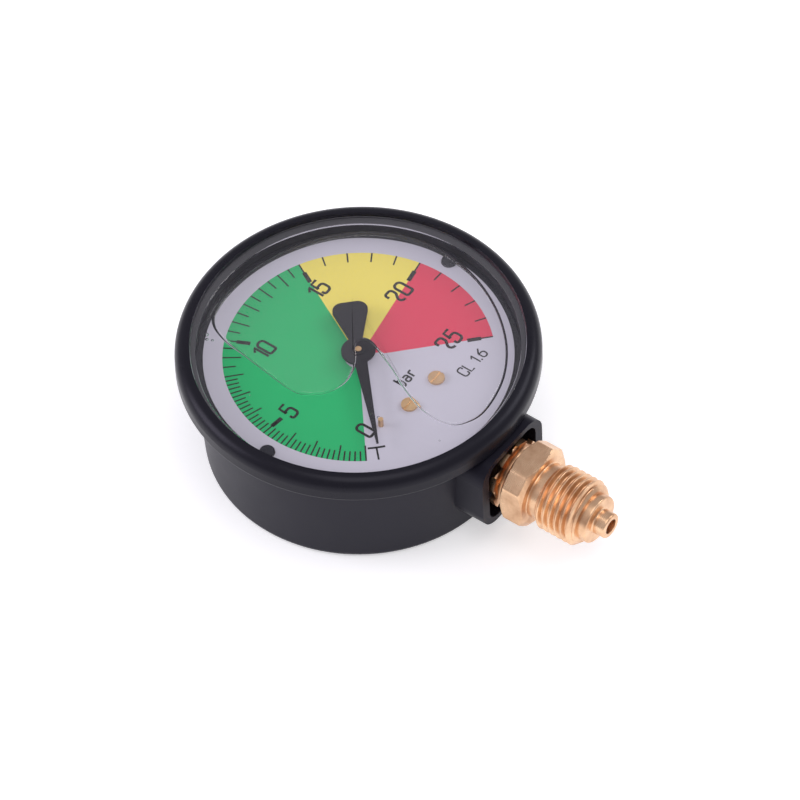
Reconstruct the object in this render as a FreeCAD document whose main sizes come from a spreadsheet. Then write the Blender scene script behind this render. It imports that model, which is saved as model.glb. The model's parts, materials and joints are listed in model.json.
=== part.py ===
"""Liquid-filled Bourdon tube pressure gauge, nominal size 63, with its stem at six o'clock.

The gauge lies on its back: +Z is the dial's outward normal, the stem points along -Y, and the origin
is the centre of the case's back face. Sizes are in millimetres and angles in degrees.
"""

import FreeCAD, Part
import Sketcher
import math
import os

V = FreeCAD.Vector
doc = FreeCAD.newDocument("pressure_gauge")
sheet = doc.addObject("Spreadsheet::Sheet", "Sizes")

# ---------------------------------------------------------------- driving dimensions
# alias, value, what it measures
DIMENSIONS = [
    ("gauge_depth", 27.3, "back face to the bezel's top"),
    ("bezel_radius", 34.0, "outer radius of the bezel ring"),
    ("bezel_height", 4.9, "height of the bezel ring"),
    ("bezel_round", 2.5, "rounding of the bezel's outer top edge"),
    ("bezel_wall", 1.6, "wall of the bezel around the window"),
    ("lip_width", 2.8, "how far the bezel's lip reaches over the window"),
    ("lip_rise", 0.7, "how far the lip stands above the window"),
    ("bead_width", 1.35, "how far the bezel's snap bead reaches under the rim"),
    ("bead_height", 0.5, "height of the snap bead"),
    ("case_taper", 1.6, "how much narrower the drum is at its back"),
    ("case_gap", 0.25, "gap between the drum and the bezel's bead"),
    ("case_wall", 2.2, "wall of the drum at its back"),
    ("case_floor", 2.0, "thickness of the back wall"),
    ("case_round", 1.6, "rounding of the back edge"),
    ("fit_gap", 0.1, "clearance of pieces that are put together by hand"),
    ("window_thick", 2.0, "thickness of the window's raised plate"),
    ("flange_thick", 1.0, "thickness of the window's clamped flange"),
    ("skirt_width", 1.2, "wall of the window's skirt"),
    ("skirt_depth", 2.2, "how far the skirt hangs under the window"),
    ("gasket_thick", 0.7, "thickness of the window gasket"),
    ("gasket_width", 2.0, "radial width of the window gasket"),
    ("dial_radius", 28.7, "radius of the dial plate"),
    ("dial_thick", 0.5, "thickness of the dial plate"),
    ("dial_top", 20.9, "height of the dial's printed face"),
    ("dial_bore", 2.0, "radius of the dial's centre hole"),
    ("ledge_width", 2.6, "ledge that carries the dial's edge"),
    ("lug_radius", 1.4, "radius of the two locating lugs"),
    ("lug_place", 28.1, "distance of the lugs from the centre"),
    ("dial_screw_x", 4.15, "half the spacing of the dial screws"),
    ("dial_screw_y", 14.7, "distance of the dial screws below the centre"),
    ("dial_screw_head", 1.55, "radius of a dial screw's head"),
    ("dial_screw_shank", 0.85, "radius of a dial screw's shank"),
    ("stop_pin_place", 17.2, "distance of the stop pin from the centre"),
    ("stop_pin_angle", 230.3, "direction of the stop pin"),
    ("stop_pin_radius", 0.5, "radius of the stop pin"),
    ("stem_height", 13.8, "height of the stem's axis above the back face"),
    ("boss_side", 2.0, "wall of the boss beside the opening"),
    ("boss_wall", 1.2, "wall of the boss above and below the opening"),
    ("boss_proud", 1.0, "how far the boss's end face stands beyond the bezel"),
    ("boss_round", 4.4, "corner rounding of the boss"),
    ("socket_gap", 0.3, "clearance between the stem's flats and the opening in the boss"),
    ("socket_round", 2.8, "corner rounding of the opening"),
    ("flats_half", 7.0, "half the width across the wrench flats"),
    ("corners_more", 0.88, "how much farther out the cut corners are than the flats"),
    ("wrench_proud", 2.0, "from the boss's end face to the wrench section"),
    ("wrench_length", 5.0, "length of the wrench section"),
    ("wrench_bevel", 0.96, "length of the turned bevels at both ends of the wrench section"),
    ("neck_radius", 5.2, "radius of the neck that carries the seal"),
    ("seal_inset", 3.0, "depth of the seal's face below the boss's end face"),
    ("collar_inset", 0.5, "depth of the notched collar's inner face below the boss's end face"),
    ("collar_length", 1.1, "length of the notched collar"),
    ("notch_depth", 0.9, "depth of the collar's notches"),
    ("notch_width", 2.5, "width of the collar's notches"),
    ("inner_collar_length", 1.0, "length of the inner collar"),
    ("relief_radius", 5.5, "radius of the thread relief"),
    ("relief_length", 1.3, "length of the thread relief"),
    ("thread_radius", 6.58, "outer radius of the G1/4 thread"),
    ("thread_root", 5.73, "root radius of the thread"),
    ("thread_pitch", 1.337, "pitch of the thread, 19 to the inch"),
    ("thread_turns", 7.0, "number of turns of the thread"),
    ("thread_runout", 0.3, "plain length between the thread and the pilot"),
    ("edge_bevel", 0.5, "bevel on the turned edges of the pilot and the spigot"),
    ("pilot_radius", 4.75, "radius of the sealing pilot"),
    ("pilot_length", 1.8, "length of the sealing pilot"),
    ("spigot_radius", 2.5, "radius of the centring spigot"),
    ("spigot_length", 2.6, "length of the centring spigot"),
    ("bore_radius", 1.5, "radius of the pressure bore"),
    ("duct_radius", 0.7, "radius of the ducts to the tube"),
    ("block_half", 6.25, "half the width of the stem's inner block"),
    ("block_bottom", 6.7, "height of the block's underside"),
    ("block_front", 11.2, "distance of the block's raised end from the centre"),
    ("tongue_front", 3.6, "distance of the tongue's end from the centre"),
    ("seat_height", 12.0, "height of the seat that carries the movement"),
    ("case_screw_a", 14.5, "first case screw, distance below the centre"),
    ("case_screw_b", 22.5, "second case screw, distance below the centre"),
    ("case_screw_shank", 1.4, "radius of a case screw's shank"),
    ("case_screw_head", 2.6, "radius of a case screw's head"),
    ("case_screw_sink", 0.5, "depth of a case screw's head below the back face"),
    ("restrictor_place", 41.0, "inner end of the restrictor"),
    ("restrictor_length", 5.0, "length of the restrictor"),
    ("restrictor_bore", 0.3, "radius of the restrictor's hole"),
    ("plug_radius", 3.0, "radius of the filling hole"),
    ("plug_head", 4.2, "radius of the filler plug's head"),
    ("plug_lip", 1.4, "how far the filler plug reaches inside the drum"),
    ("tube_radius", 21.5, "mean radius of the Bourdon tube's bend"),
    ("tube_thick", 2.4, "radial thickness of the flattened tube"),
    ("tube_height", 8.0, "height of the flattened tube"),
    ("tube_wall", 0.4, "wall of the tube"),
    ("tube_middle", 11.0, "height of the tube's middle"),
    ("tube_tip_angle", 10.0, "direction of the tube's closed end"),
    ("tube_root_angle", 258.0, "direction of the tube's fixed end"),
    ("tip_cap_angle", 9.0, "sweep of the end piece over the tube"),
    ("tip_cap_wall", 0.6, "wall of the end piece round the tube"),
    ("tip_pin_inset", 3.1, "how far inside the tube's bend the link pin of the end piece is"),
    ("tip_pin_y", 0.0, "link pin on the end piece, above the centre"),
    ("module_size", 0.25, "module of the sector and pinion teeth"),
    ("pinion_teeth", 10.0, "teeth on the pinion"),
    ("sector_teeth_full", 100.0, "teeth the sector would have as a full wheel"),
    ("sector_teeth", 11.0, "teeth cut on the sector"),
    ("sector_side", 146.4, "direction from the sector's pivot to the pinion"),
    ("sector_tail", 5.0, "length of the sector's tail"),
    ("sector_tail_angle", -26.7, "direction of the tail at rest"),
    ("sector_low", 15.0, "height of the sector's underside"),
    ("sector_thick", 1.0, "thickness of the sector"),
    ("sector_hub", 1.9, "radius of the sector's hub"),
    ("shaft_radius", 0.8, "radius of the sector's shaft"),
    ("arbor_radius", 0.6, "radius of the pointer's arbor"),
    ("pivot_gap", 0.04, "running clearance of shafts and pins"),
    ("pin_radius", 0.6, "radius of the link pins"),
    ("link_width", 2.2, "width of the link"),
    ("link_thick", 0.6, "thickness of the link"),
    ("link_lift", 0.2, "gap between the link and what it lies over"),
    ("slack_hole", 0.75, "radius of the link's hole over the tail pin"),
    ("plate_thick", 1.0, "thickness of the movement plates"),
    ("plate_gap", 5.0, "distance between the movement plates"),
    ("pillar_radius", 1.2, "radius of the movement pillars"),
    ("pillar_a_x", -5.2, "first pillar, to the right of the centre"),
    ("pillar_a_y", -9.2, "first pillar, above the centre"),
    ("pillar_b_x", 5.6, "second pillar, to the right of the centre"),
    ("pillar_b_y", -9.6, "second pillar, above the centre"),
    ("pillar_c_x", 14.2, "third pillar, to the right of the centre"),
    ("pillar_c_y", -1.9, "third pillar, above the centre"),
    ("seat_screw_x", 3.4, "half the spacing of the screws that hold the movement"),
    ("seat_screw_y", 6.4, "distance of those screws below the centre"),
    ("movement_screw", 0.7, "radius of a movement screw's shank"),
    ("movement_head", 1.15, "radius of a movement screw's head"),
    ("head_height", 0.7, "height of the small screws' heads"),
    ("collet_radius", 1.3, "radius of the hairspring's collet"),
    ("collet_height", 0.8, "height of the collet"),
    ("spring_turns", 4.5, "turns of the hairspring"),
    ("spring_outer", 4.3, "outer radius of the hairspring"),
    ("spring_strip", 0.12, "thickness of the hairspring's strip"),
    ("spring_height", 0.35, "height of the hairspring's strip"),
    ("spring_drop", 0.8, "how far the hairspring is under the front plate"),
    ("stud_x", -5.0, "hairspring's stud, to the right of the centre"),
    ("stud_y", 1.2, "hairspring's stud, above the centre"),
    ("stud_radius", 0.5, "radius of the hairspring's stud"),
    ("pointer_lift", 2.5, "how far the pointer's underside is above the dial"),
    ("pointer_thick", 0.5, "thickness of the pointer"),
    ("pointer_hub", 3.2, "radius of the pointer's round middle"),
    ("pointer_reach", 22.6, "length of the pointer from the centre to its tip"),
    ("pointer_root", 1.35, "half width of the pointer's arm at its hub"),
    ("pointer_end", 0.2, "half width of the pointer's tip"),
    ("tail_centre", 9.9, "distance of the tail's two round corners from the centre"),
    ("tail_spread", 1.4, "half the spacing of those corners"),
    ("tail_radius", 1.9, "rounding of the corners"),
    ("tail_flare", 17.2, "angle at which the tail's sides spread"),
    ("pointer_angle", 225.5, "direction of the pointer at rest"),
    ("bush_radius", 1.3, "radius of the pointer's bush"),
    ("bush_collar", 0.5, "height and width of the bush's collar under the pointer"),
    ("bush_rise", 0.2, "how far the bush stands above the pointer"),
    ("arbor_rise", 0.2, "how far the arbor's end stands above the bush"),
]


class Size:
    """A number that carries the spreadsheet formula it was worked out from."""

    def __init__(self, value, text):
        self.value = value
        self.text = text

    def __add__(self, other):
        other = as_size(other)
        return Size(self.value + other.value, f"({self.text} + {other.text})")

    def __sub__(self, other):
        other = as_size(other)
        return Size(self.value - other.value, f"({self.text} - {other.text})")

    def __mul__(self, other):
        other = as_size(other)
        return Size(self.value * other.value, f"({self.text} * {other.text})")

    def __truediv__(self, other):
        other = as_size(other)
        return Size(self.value / other.value, f"({self.text} / {other.text})")

    def __neg__(self):
        return Size(-self.value, f"(-1 * {self.text})")

    def __radd__(self, other):
        return as_size(other) + self

    def __rsub__(self, other):
        return as_size(other) - self

    def __rmul__(self, other):
        return as_size(other) * self


def as_size(number):
    return number if isinstance(number, Size) else Size(float(number), repr(float(number)))


def cosine(angle):
    angle = as_size(angle)
    return Size(math.cos(math.radians(angle.value)), f"cos({angle.text} * 1 deg)")


def sine(angle):
    angle = as_size(angle)
    return Size(math.sin(math.radians(angle.value)), f"sin({angle.text} * 1 deg)")


class Sheet:
    """Every alias of the spreadsheet as an attribute."""


s = Sheet()
for row, (alias, value, meaning) in enumerate(DIMENSIONS, start=1):
    sheet.set(f"A{row}", meaning)
    sheet.set(f"B{row}", str(value))
    sheet.setAlias(f"B{row}", alias)
    setattr(s, alias, Size(value, f"Sizes.{alias}"))
doc.recompute()

PIECES = []


# ---------------------------------------------------------------- helpers
def fresh(name):
    """A name that no object of the document has yet."""
    number = 1
    while doc.getObject(f"{name}_{number}"):
        number += 1
    return f"{name}_{number}"


def tie(obj, **properties):
    """Bind each named property to its formula."""
    for name, amount in properties.items():
        obj.setExpression(name, as_size(amount).text)
    return obj


def place(obj, x=0, y=0, z=0, turn=None):
    """Put an object at a point, turned by (axis, angle) when turn is given."""
    spot = [as_size(c) for c in (x, y, z)]
    rotation = FreeCAD.Rotation(turn[0], as_size(turn[1]).value) if turn else FreeCAD.Rotation()
    obj.Placement = FreeCAD.Placement(V(*[c.value for c in spot]), rotation)
    for letter, coordinate in zip("xyz", spot):
        obj.setExpression(f"Placement.Base.{letter}", coordinate.text)
    if turn and isinstance(turn[1], Size):
        obj.setExpression("Placement.Rotation.Angle", f"{turn[1].text} * 1 deg")
    return obj


UPRIGHT = None
OUT_OF_STEM = (V(1, 0, 0), 90)
INTO_TOP = (V(1, 0, 0), -90)
TO_THE_RIGHT = (V(0, 1, 0), 90)


def cylinder(radius, length, x=0, y=0, z=0, turn=UPRIGHT):
    rod = doc.addObject("Part::Cylinder", fresh("rod"))
    tie(rod, Radius=radius, Height=length)
    return place(rod, x, y, z, turn)


def cone(low_radius, high_radius, length, x=0, y=0, z=0, turn=UPRIGHT):
    taper = doc.addObject("Part::Cone", fresh("taper"))
    tie(taper, Radius1=low_radius, Radius2=high_radius, Height=length)
    return place(taper, x, y, z, turn)


def box(width, depth, height, x, y, z):
    """A box from its lowest corner."""
    block = doc.addObject("Part::Box", fresh("block"))
    tie(block, Length=width, Width=depth, Height=height)
    return place(block, x, y, z)


def bar_along_stem(half, start, length, tilt=0):
    """A square bar round the stem's axis, from start outwards, turned by tilt about that axis."""
    bar = doc.addObject("Part::Box", fresh("bar"))
    tie(bar, Length=2 * half, Width=length, Height=2 * half)
    across = half * (cosine(tilt) + sine(tilt))
    upwards = half * (cosine(tilt) - sine(tilt))
    return place(bar, -across, -(start + length), s.stem_height - upwards, (V(0, 1, 0), tilt))


def fuse(*shapes):
    union = doc.addObject("Part::MultiFuse", fresh("union"))
    union.Shapes = list(shapes)
    return union


def common(*shapes):
    overlap = doc.addObject("Part::MultiCommon", fresh("overlap"))
    overlap.Shapes = list(shapes)
    return overlap


def cut(base, *tools):
    """The base with every tool taken away."""
    result = doc.addObject("Part::Cut", fresh("cut"))
    result.Base = base
    result.Tool = tools[0] if len(tools) == 1 else fuse(*tools)
    return result


def group(*shapes):
    """Like solids that make one node without being joined."""
    bundle = doc.addObject("Part::Compound", fresh("group"))
    bundle.Links = list(shapes)
    return bundle


def shape_of(maker, name):
    """A feature for a form that primitives and sketches can't give, such as teeth."""
    feature = doc.addObject("Part::Feature", fresh(name))
    feature.Shape = maker
    return feature


def piece(label, obj):
    """Register an object as one node of the gauge."""
    obj.Label = label
    PIECES.append(obj)
    return obj


def plane_of(body, role):
    return next(f for f in body.Origin.OriginFeatures if f.Role == role)


def pin_coordinate(sketch, kind, geometry, point, amount):
    """Hold one coordinate of a sketch point at a formula's value."""
    amount = as_size(amount)
    along = {"DistanceX": -2, "DistanceY": -1}[kind]
    if abs(amount.value) < 1e-9:
        sketch.addConstraint(Sketcher.Constraint("PointOnObject", geometry, point, along))
        return
    if amount.value > 0:
        ends = (-1, 1, geometry, point)
        text = amount.text
    else:
        ends = (geometry, point, -1, 1)
        text = (-amount).text
    index = sketch.addConstraint(Sketcher.Constraint(kind, *ends, abs(amount.value)))
    sketch.setExpression(f"Constraints[{index}]", text)


def draw_loop(sketch, points):
    """A closed outline of straight lines, each corner held by its two coordinates."""
    spots = [V(as_size(x).value, as_size(y).value, 0) for x, y in points]
    first = sketch.GeometryCount
    count = len(points)
    for i in range(count):
        sketch.addGeometry(Part.LineSegment(spots[i], spots[(i + 1) % count]))
    for i in range(count):
        following = first + (i + 1) % count
        sketch.addConstraint(Sketcher.Constraint("Coincident", first + i, 2, following, 1))
    for i, (x, y) in enumerate(points):
        pin_coordinate(sketch, "DistanceX", first + i, 1, x)
        pin_coordinate(sketch, "DistanceY", first + i, 1, y)


def draw_circle(sketch, x, y, radius):
    spot = V(as_size(x).value, as_size(y).value, 0)
    index = sketch.addGeometry(Part.Circle(spot, V(0, 0, 1), as_size(radius).value))
    pin_coordinate(sketch, "DistanceX", index, 3, x)
    pin_coordinate(sketch, "DistanceY", index, 3, y)
    held = sketch.addConstraint(Sketcher.Constraint("Radius", index, as_size(radius).value))
    sketch.setExpression(f"Constraints[{held}]", as_size(radius).text)


def sketched_body(name, role):
    body = doc.addObject("PartDesign::Body", fresh(name))
    sketch = body.newObject("Sketcher::SketchObject", fresh(name + "_outline"))
    sketch.AttachmentSupport = (plane_of(body, role), [""])
    sketch.MapMode = "FlatFace"
    doc.recompute()
    return body, sketch


def turned(name, *loops, sweep=360):
    """A body turned round Z from outlines of (radius, height) corners."""
    body, sketch = sketched_body(name, "XZ_Plane")
    for loop in loops:
        draw_loop(sketch, loop)
    turning = body.newObject("PartDesign::Revolution", fresh(name + "_turning"))
    turning.Profile = sketch
    turning.ReferenceAxis = (sketch, ["V_Axis"])
    turning.Midplane = as_size(sweep).value < 360
    tie(turning, Angle=sweep)
    doc.recompute()
    return body


def plate(name, outline, thickness, z, holes=()):
    """A flat body padded up from height z, with round holes (x, y, radius)."""
    body, sketch = sketched_body(name, "XY_Plane")
    draw_loop(sketch, outline)
    for x, y, radius in holes:
        draw_circle(sketch, x, y, radius)
    pad = body.newObject("PartDesign::Pad", fresh(name + "_pad"))
    pad.Profile = sketch
    tie(pad, Length=thickness)
    place(body, z=z)
    doc.recompute()
    return body


def round_edges(body, radius, *rims):
    """Round a turned body's circular edges, each found by its (radius, height)."""
    base = body.Tip
    names = []
    for i, edge in enumerate(base.Shape.Edges, start=1):
        curve = edge.Curve
        if not hasattr(curve, "Radius"):
            continue
        for r, z in rims:
            same_radius = abs(curve.Radius - as_size(r).value) < 1e-4
            same_height = abs(curve.Center.z - as_size(z).value) < 1e-4
            if same_radius and same_height:
                names.append(f"Edge{i}")
    fillet = body.newObject("PartDesign::Fillet", fresh("rounding"))
    fillet.Base = (base, names)
    tie(fillet, Radius=radius)
    body.Tip = fillet
    doc.recompute()
    return body


def rounded_bar(name, half_x, half_z, corner, start, length):
    """A bar along -Y round the stem's axis, with its four long edges rounded."""
    wide = box(2 * half_x, length, 2 * (half_z - corner), -half_x, -(start + length),
               s.stem_height - half_z + corner)
    tall = box(2 * (half_x - corner), length, 2 * half_z, corner - half_x, -(start + length),
               s.stem_height - half_z)
    corners = [
        cylinder(corner, length, side * (half_x - corner), -start,
                 s.stem_height + level * (half_z - corner), OUT_OF_STEM)
        for side in (-1, 1)
        for level in (-1, 1)
    ]
    bar = fuse(wide, tall, *corners)
    bar.Refine = True
    return bar


# ---------------------------------------------------------------- levels that pieces share
window_top = s.gauge_depth - s.lip_rise
window_low = window_top - s.window_thick
flange_top = window_low + s.flange_thick
lip_radius = s.bezel_radius - s.lip_width
bezel_bore = s.bezel_radius - s.bezel_wall
bezel_low = s.gauge_depth - s.bezel_height
rim_radius = bezel_bore - 2 * s.fit_gap
rim_low = bezel_low + s.bead_height + s.fit_gap / 2
rim_top = window_low - s.gasket_thick
drum_front = bezel_bore - s.bead_width - s.case_gap
drum_back = drum_front - s.case_taper
dial_low = s.dial_top - s.dial_thick
dial_room = s.dial_radius + s.skirt_width + s.fit_gap
cavity = dial_room - s.ledge_width
plug_pad = drum_front - s.fit_gap
socket_half = s.flats_half + s.socket_gap
boss_reach = s.bezel_radius + s.boss_proud
tip_pin_x = s.tube_radius - s.tip_pin_inset
pointer_low = s.dial_top + s.pointer_lift
pointer_high = pointer_low + s.pointer_thick
bush_top = pointer_high + s.bush_rise


# ---------------------------------------------------------------- case
def make_case():
    """The drum with its boss, hollowed from the front, with lugs, pads and holes."""
    drum = turned("drum", [
        (0, 0), (drum_back, 0), (drum_front, rim_low), (rim_radius, rim_low),
        (rim_radius, rim_top), (0, rim_top),
    ])
    round_edges(drum, s.case_round, (drum_back, 0))
    hollow = turned("hollow", [
        (0, s.case_floor), (cavity, s.case_floor), (cavity, dial_low), (dial_room, dial_low),
        (dial_room, rim_top + 1), (0, rim_top + 1),
    ])
    round_edges(hollow, s.case_round / 2, (cavity, s.case_floor))
    boss_start = cavity - 6
    boss = rounded_bar("boss", socket_half + s.boss_side, socket_half + s.boss_wall,
                       s.boss_round, boss_start, boss_reach - boss_start)
    opening = rounded_bar("opening", socket_half, socket_half, s.socket_round,
                          boss_start, boss_reach - boss_start + 1)
    pad = cylinder(s.plug_head + 0.8, plug_pad - cavity, 0, cavity, s.stem_height, INTO_TOP)
    filling_hole = cylinder(s.plug_radius, plug_pad - cavity + 4, 0, cavity - 3, s.stem_height, INTO_TOP)
    seats = [
        cylinder(s.case_screw_head + 1, s.block_bottom - s.case_floor / 2, 0, -y, s.case_floor / 2)
        for y in (s.case_screw_a, s.case_screw_b)
    ]
    screw_holes = [
        cylinder(s.case_screw_shank + s.fit_gap, s.block_bottom + 2, 0, -y, -1)
        for y in (s.case_screw_a, s.case_screw_b)
    ]
    sinks = [
        cylinder(s.case_screw_head + s.fit_gap, s.case_screw_sink + s.head_height + 1, 0, -y, -1)
        for y in (s.case_screw_a, s.case_screw_b)
    ]
    lugs = [
        cylinder(s.lug_radius, s.dial_thick + 1.2, side * s.lug_place, 0, dial_low - 0.5)
        for side in (-1, 1)
    ]
    shell = cut(fuse(drum, boss, pad), hollow)
    return cut(fuse(shell, *seats, *lugs), opening, filling_hole, *screw_holes, *sinks)


piece("case", make_case())


# ---------------------------------------------------------------- bezel, window, gasket
def make_bezel():
    """Snap-on ring with a rounded shoulder, a lip over the window and a bead under the rim."""
    bead_radius = bezel_bore - s.bead_width
    bezel = turned("bezel", [
        (bead_radius, bezel_low), (s.bezel_radius, bezel_low), (s.bezel_radius, s.gauge_depth),
        (lip_radius, s.gauge_depth), (lip_radius, flange_top), (bezel_bore, flange_top),
        (bezel_bore, bezel_low + s.bead_height), (bead_radius, bezel_low + s.bead_height),
    ])
    round_edges(bezel, s.bezel_round, (s.bezel_radius, s.gauge_depth))
    return round_edges(bezel, s.bead_height, (s.bezel_radius, bezel_low))


def make_window():
    """Moulded clear window: raised plate, clamped flange and a skirt round the dial."""
    raised = lip_radius - s.fit_gap
    skirt_out = dial_room - s.fit_gap
    skirt_in = skirt_out - s.skirt_width
    skirt_low = window_low - s.skirt_depth
    window = turned("window", [
        (0, window_low), (skirt_in, window_low), (skirt_in, skirt_low), (skirt_out, skirt_low),
        (skirt_out, window_low), (rim_radius, window_low), (rim_radius, flange_top),
        (raised, flange_top), (raised, window_top), (0, window_top),
    ])
    return round_edges(window, s.lip_rise / 2, (raised, window_top))


def make_gasket():
    outer = rim_radius - s.fit_gap
    inner = outer - s.gasket_width
    return turned("gasket", [(inner, rim_top), (outer, rim_top), (outer, window_low),
                             (inner, window_low)])


piece("bezel_ring", make_bezel())
piece("window", make_window())
piece("window_gasket", make_gasket())


# ---------------------------------------------------------------- dial, its screws, stop pin
pin_x = s.stop_pin_place * cosine(s.stop_pin_angle)
pin_y = s.stop_pin_place * sine(s.stop_pin_angle)


def make_dial():
    disc = cylinder(s.dial_radius, s.dial_thick, z=dial_low)
    height = s.dial_thick + 2
    holes = [cylinder(s.dial_bore, height, z=dial_low - 1)]
    for side in (-1, 1):
        holes.append(cylinder(s.dial_screw_shank + s.fit_gap, height, side * s.dial_screw_x,
                              -s.dial_screw_y, dial_low - 1))
        holes.append(cylinder(s.lug_radius + s.fit_gap, height, side * s.lug_place, 0,
                              dial_low - 1))
    holes.append(cylinder(s.stop_pin_radius, height, pin_x, pin_y, dial_low - 1))
    return cut(disc, *holes)


def screw(head_radius, shank_radius, length, x, y, z, head, slot):
    """A slotted screw with its head standing on height z and its shank below."""
    rod = cylinder(shank_radius, length + head / 2, x, y, z - length)
    top = cylinder(head_radius, head, x, y, z)
    groove = box(2 * head_radius + 1, slot, head, x - head_radius - 0.5, y - slot / 2,
                 z + head / 2)
    return cut(fuse(rod, top), groove)


def make_dial_screws():
    return group(*[
        screw(s.dial_screw_head, s.dial_screw_shank, as_size(4.5), side * s.dial_screw_x,
              -s.dial_screw_y, s.dial_top, s.head_height, as_size(0.4))
        for side in (-1, 1)
    ])


def make_stop_pin():
    return cylinder(s.stop_pin_radius, pointer_high - dial_low, pin_x, pin_y, dial_low)


piece("dial", make_dial())
piece("dial_screws", make_dial_screws())
piece("stop_pin", make_stop_pin())


# ---------------------------------------------------------------- stem
collar_radius = s.flats_half - s.fit_gap
corners_half = s.flats_half + s.corners_more
inner_collar_start = s.dial_radius + s.fit_gap
seal_face = boss_reach - s.seal_inset
collar_start = boss_reach - s.collar_inset
wrench_start = boss_reach + s.wrench_proud
wrench_end = wrench_start + s.wrench_length
thread_start = wrench_end + s.relief_length
thread_end = thread_start + s.thread_pitch * s.thread_turns + s.thread_runout
pilot_end = thread_end + s.pilot_length
stem_end = pilot_end + s.spigot_length
root_y = s.tube_radius * sine(s.tube_root_angle)
root_x = s.tube_radius * cosine(s.tube_root_angle)


def stem_profile():
    """Corners of the turned end: relief, ridged thread, pilot and spigot."""
    bevel = s.edge_bevel
    corners = [(0, wrench_start), (s.relief_radius, wrench_start),
               (s.relief_radius, thread_start), (s.thread_root, thread_start)]
    for i in range(int(s.thread_turns.value)):
        foot = thread_start + s.thread_pitch * i
        corners += [
            (s.thread_root, foot + s.thread_pitch * 0.12),
            (s.thread_radius, foot + s.thread_pitch * 0.46),
            (s.thread_radius, foot + s.thread_pitch * 0.66),
        ]
    corners += [(s.thread_root, thread_end - s.thread_runout),
                (s.pilot_radius + bevel, thread_end), (s.pilot_radius, thread_end),
                (s.pilot_radius, pilot_end - bevel), (s.pilot_radius - bevel, pilot_end),
                (s.spigot_radius, pilot_end), (s.spigot_radius, stem_end - bevel / 2),
                (s.spigot_radius - bevel / 2, stem_end), (0, stem_end)]
    return corners


def octagon(start, length):
    """A bar of four wide flats and four narrow ones."""
    return common(bar_along_stem(s.flats_half, start, length),
                  bar_along_stem(corners_half, start, length, tilt=45))


def wrench_section():
    """The octagon between its two turned chamfers."""
    reach = corners_half + s.edge_bevel
    face = s.flats_half - s.fit_gap
    mask = turned("chamfers", [
        (0, wrench_start), (face, wrench_start), (reach, wrench_start + s.wrench_bevel),
        (reach, wrench_end - s.wrench_bevel), (face, wrench_end), (0, wrench_end),
    ])
    place(mask, z=s.stem_height, turn=OUT_OF_STEM)
    return common(octagon(wrench_start, s.wrench_length), mask)


def notched_collar():
    """Round collar with eight notches, which key the stem in the boss."""
    disc = cylinder(collar_radius, s.collar_length, 0, -collar_start, s.stem_height,
                    OUT_OF_STEM)
    root = collar_radius - s.notch_depth
    half = s.notch_width / 2
    notches = []
    for number in range(8):
        angle = 45 * number
        notch = doc.addObject("Part::Box", fresh("notch"))
        tie(notch, Length=s.notch_width, Width=s.collar_length, Height=2 * s.notch_depth)
        x = root * sine(angle) - half * cosine(angle)
        z = root * cosine(angle) + half * sine(angle)
        notches.append(place(notch, x, -(collar_start + s.collar_length), s.stem_height + z,
                             (V(0, 1, 0), angle)))
    return cut(disc, *notches)


def tube_bar(name, margin, first, last):
    """The tube's flattened section, grown by margin, swept between two directions."""
    half = s.tube_thick / 2 + margin
    tall = s.tube_height / 2 + margin
    bar = turned(name, [
        (s.tube_radius - half, s.tube_middle - tall), (s.tube_radius + half, s.tube_middle - tall),
        (s.tube_radius + half, s.tube_middle + tall), (s.tube_radius - half, s.tube_middle + tall),
    ], sweep=last - first)
    return place(bar, turn=(V(0, 0, 1), (first + last) / 2))


def make_stem():
    """Brass stem: threaded end, flats, collars, and the inner block that carries the works."""
    threaded = turned("stem_end", stem_profile())
    place(threaded, z=s.stem_height, turn=OUT_OF_STEM)
    inner_collar = octagon(inner_collar_start, s.inner_collar_length)
    block_back = cavity - s.block_half * s.block_half / (2 * cavity) - 2 * s.fit_gap
    neck = cylinder(s.neck_radius, wrench_start - block_back + 0.5, 0, -(block_back - 0.5),
                    s.stem_height, OUT_OF_STEM)
    block = box(2 * s.block_half, block_back - s.block_front, dial_low - s.block_bottom,
                -s.block_half, -block_back, s.block_bottom)
    tongue = box(2 * s.block_half, s.block_front - s.tongue_front + 1,
                 s.seat_height - s.block_bottom, -s.block_half, -(s.block_front + 1),
                 s.block_bottom)
    solid = fuse(threaded, wrench_section(), notched_collar(), inner_collar, neck, block, tongue)
    bore = cylinder(s.bore_radius, stem_end + root_y + 1, 0, root_y, s.stem_height, OUT_OF_STEM)
    drop = cylinder(s.duct_radius, s.stem_height - s.tube_middle, 0, root_y, s.tube_middle)
    across = cylinder(s.duct_radius, -root_x + s.duct_radius, root_x, root_y, s.tube_middle,
                      TO_THE_RIGHT)
    slot = tube_bar("tube_slot", as_size(0), s.tube_root_angle - 20, s.tube_root_angle)
    screw_holes = [
        cylinder(s.case_screw_shank, 5, 0, -y, s.block_bottom - 1)
        for y in (s.case_screw_a, s.case_screw_b)
    ]
    screw_holes += [
        cylinder(s.dial_screw_shank, 6, side * s.dial_screw_x, -s.dial_screw_y, dial_low - 5)
        for side in (-1, 1)
    ]
    screw_holes += [
        cylinder(s.movement_screw, 4, x, y, s.seat_height - 3) for x, y in SEAT_SCREWS
    ]
    return cut(solid, bore, drop, across, slot, *screw_holes)


SEAT_SCREWS = [(side * s.seat_screw_x, -s.seat_screw_y) for side in (-1, 1)]
piece("stem", make_stem())


def make_seal():
    """Rubber seal outside the inner collar, filling the boss's opening round the neck."""
    start = inner_collar_start + s.inner_collar_length
    outer = rounded_bar("seal", socket_half, socket_half, s.socket_round, start,
                        seal_face - start)
    hole = cylinder(s.neck_radius, 6, 0, -(start - 1), s.stem_height, OUT_OF_STEM)
    return cut(outer, hole)


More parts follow.
